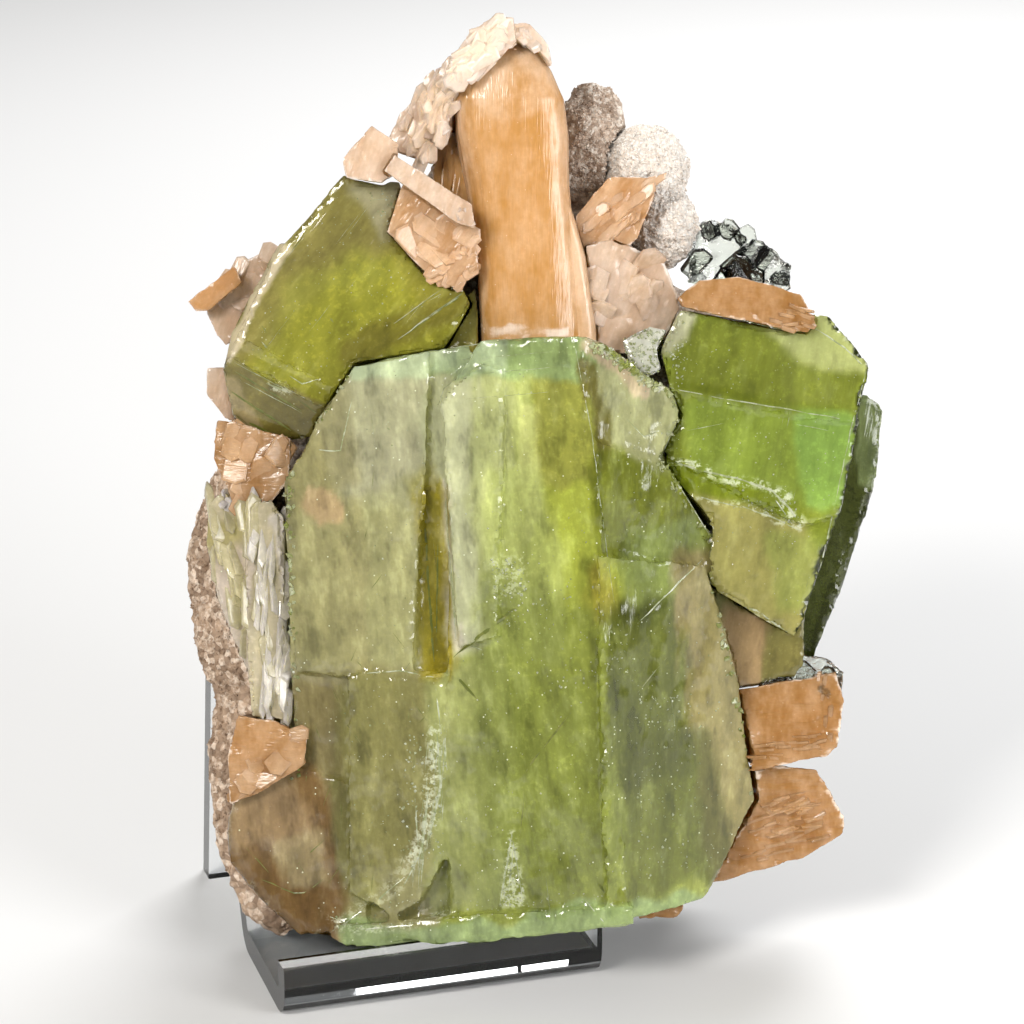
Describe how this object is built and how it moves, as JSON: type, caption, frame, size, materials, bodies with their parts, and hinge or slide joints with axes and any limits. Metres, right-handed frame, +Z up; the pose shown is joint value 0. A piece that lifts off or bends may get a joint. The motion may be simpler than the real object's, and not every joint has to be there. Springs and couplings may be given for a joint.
{
  "type": "apophyllite cluster",
  "caption": "Green apophyllite crystals grown together with peach stilbite on a thin piece of matrix, leaning on a small bent clear easel.",
  "frame": {"origin": "middle of the bounding box, at the surface that the easel stands on", "axes": "+Z up, the specimen's broad face towards -Y, +X to the viewer's right"},
  "size_m": [0.0834, 0.0616, 0.1103],
  "materials": {
    "green_crystal": "glassy to pearly, milky green and see-through at the edges",
    "pale_crystal": "pearly, pale and bladed",
    "peach_crystal": "silky peach with fine lengthwise lines",
    "pink_crystal": "pale pinkish, pearly and translucent",
    "clear_crystal": "colourless and glassy",
    "white_grains": "white and grainy, not shiny",
    "matrix_rock": "rough grey-brown rock with pale grains",
    "acrylic": "clear polished acrylic"
  },
  "bodies": {
    "root": {"acrylic_easel": "acrylic", "apophyllite_main": "green_crystal", "apophyllite_left": "green_crystal", "apophyllite_right": "green_crystal", "apophyllite_back": "green_crystal", "apophyllite_small": "green_crystal", "apophyllite_olive": "green_crystal", "apophyllite_bladed": "pale_crystal", "sparkly_druse": "pale_crystal", "stilbite_sheaf": "peach_crystal", "stilbite_back_blade": "peach_crystal", "stilbite_wing": "peach_crystal", "stilbite_slab": "peach_crystal", "stilbite_fan": "peach_crystal", "stilbite_lower_upper": "peach_crystal", "stilbite_lower_lower": "peach_crystal", "stilbite_left_piece": "peach_crystal", "stilbite_low_left_blade": "peach_crystal", "stilbite_left_sliver": "peach_crystal", "stilbite_bottom_chip": "peach_crystal", "stilbite_lath": "pink_crystal", "stilbite_block": "pink_crystal", "stilbite_cap": "pink_crystal", "stilbite_flank_blades": "pink_crystal", "stilbite_pale_block": "pink_crystal", "stilbite_left_block": "pink_crystal", "stilbite_left_stub": "pink_crystal", "clear_crystal_lower": "clear_crystal", "clear_crystal_upper": "clear_crystal", "colourless_crystal": "clear_crystal", "white_ball": "white_grains", "left_crust": "white_grains", "matrix": "matrix_rock"}
  },
  "joints": []
}
